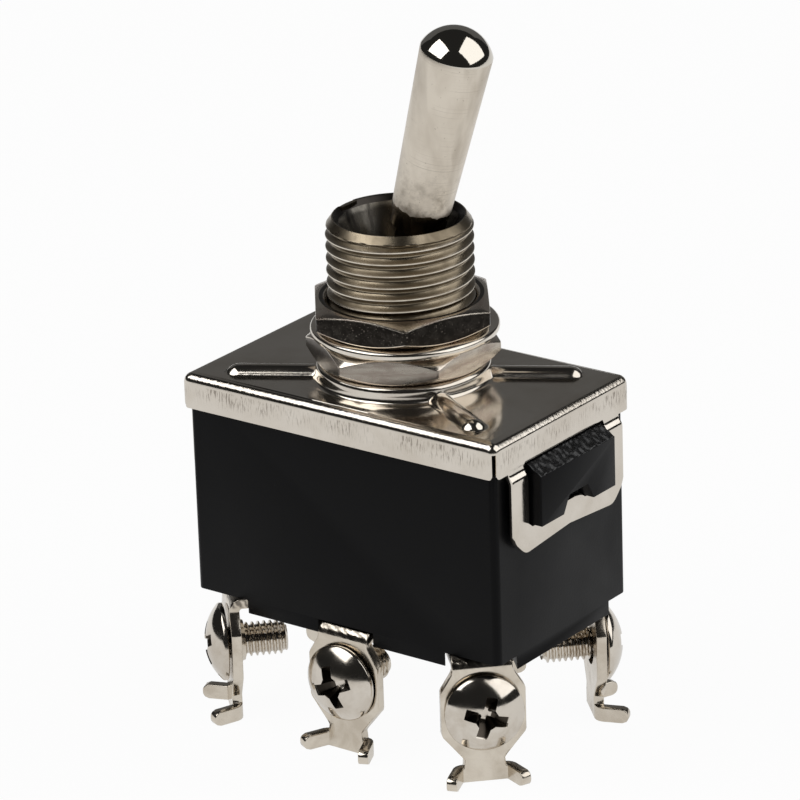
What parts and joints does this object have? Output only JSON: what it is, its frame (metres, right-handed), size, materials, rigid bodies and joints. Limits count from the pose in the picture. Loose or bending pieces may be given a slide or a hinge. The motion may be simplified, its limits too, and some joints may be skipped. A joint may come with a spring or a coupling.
{
  "type": "panel toggle switch",
  "caption": "Panel toggle switch with a bat lever in a threaded bushing, nuts and washer, sheet cover over a black box case, and cross-head screw terminals.",
  "frame": {"origin": "on the bushing's axis, at the level of the terminals' feet", "axes": "+Z along the bushing's axis towards the lever, +X along the case towards the side the lever rests on, +Y across the case towards the back"},
  "size_m": [0.034, 0.0234, 0.0602],
  "materials": {
    "case_moulding": "satin black thermoset moulding",
    "insulator_board": "grey insulating board",
    "cover_sheet": "nickel-plated sheet steel, scuffed along the flanges",
    "bushing_metal": "nickel-plated brass with a dull, slightly browned thread",
    "nut_metal": "bright nickel plate",
    "washer_metal": "bright nickel plate",
    "lever_metal": "polished nickel plate over brass",
    "pin_steel": "ground steel",
    "actuator_resin": "brown moulded resin",
    "plunger_nylon": "natural nylon",
    "spring_wire": "drawn steel wire",
    "rocker_copper": "plain copper strip",
    "bracket_metal": "nickel-plated brass",
    "contact_silver": "silver contact metal",
    "rivet_metal": "nickel-plated brass",
    "terminal_metal": "nickel-plated brass with sheared edges",
    "screw_metal": "bright nickel plate"
  },
  "bodies": {
    "housing": {"case": "case_moulding", "insulator": "insulator_board", "cover": "cover_sheet", "bushing": "bushing_metal", "lower_nut": "nut_metal", "washer": "washer_metal", "upper_nut": "nut_metal", "lever_pin": "pin_steel", "fulcrum_front": "bracket_metal", "fulcrum_back": "bracket_metal", "fixed_contact_front_left": "contact_silver", "fixed_contact_front_right": "contact_silver", "fixed_contact_back_left": "contact_silver", "fixed_contact_back_right": "contact_silver", "common_rivet_front": "rivet_metal", "common_rivet_back": "rivet_metal", "terminal_front_left": "terminal_metal", "terminal_front_middle": "terminal_metal", "terminal_front_right": "terminal_metal", "terminal_back_left": "terminal_metal", "terminal_back_middle": "terminal_metal", "terminal_back_right": "terminal_metal", "screw_front_left": "screw_metal", "screw_front_middle": "screw_metal", "screw_front_right": "screw_metal", "screw_back_left": "screw_metal", "screw_back_middle": "screw_metal", "screw_back_right": "screw_metal"},
    "lever": {"lever": "lever_metal", "actuator": "actuator_resin", "spring_front": "spring_wire", "spring_back": "spring_wire"},
    "plunger_front": {"plunger_front": "plunger_nylon"},
    "plunger_back": {"plunger_back": "plunger_nylon"},
    "rocker_front": {"rocker_front": "rocker_copper", "moving_contact_front_left": "contact_silver", "moving_contact_front_right": "contact_silver"},
    "rocker_back": {"rocker_back": "rocker_copper", "moving_contact_back_left": "contact_silver", "moving_contact_back_right": "contact_silver"}
  },
  "joints": [
    {"name": "lever_toggle", "type": "hinge", "parent": "housing", "child": "lever", "pos_m": [0, 0, 0.0366], "axis": [0, 1, 0], "range_deg": [-32, 0]},
    {"name": "rocker_front_tilt", "type": "hinge", "parent": "housing", "child": "rocker_front", "pos_m": [0, -0.0044, 0.0142], "axis": [0, 1, 0], "range_deg": [0, 12]},
    {"name": "rocker_back_tilt", "type": "hinge", "parent": "housing", "child": "rocker_back", "pos_m": [0, 0.0044, 0.0142], "axis": [0, 1, 0], "range_deg": [0, 12]},
    {"name": "plunger_front_slide", "type": "slide", "parent": "lever", "child": "plunger_front", "axis": [0.2756, 0, 0.9613], "range_m": [0, 0.0008], "stiffness_N_per_m": 300, "springref_m": -0.001, "deforming": ["spring_front"]},
    {"name": "plunger_back_slide", "type": "slide", "parent": "lever", "child": "plunger_back", "axis": [0.2756, 0, 0.9613], "range_m": [0, 0.0008], "stiffness_N_per_m": 300, "springref_m": -0.001, "deforming": ["spring_back"]}
  ],
  "couplings": [
    {"joint": "rocker_front_tilt", "follows": "lever_toggle", "ratio": -0.375},
    {"joint": "rocker_back_tilt", "follows": "lever_toggle", "ratio": -0.375}
  ]
}
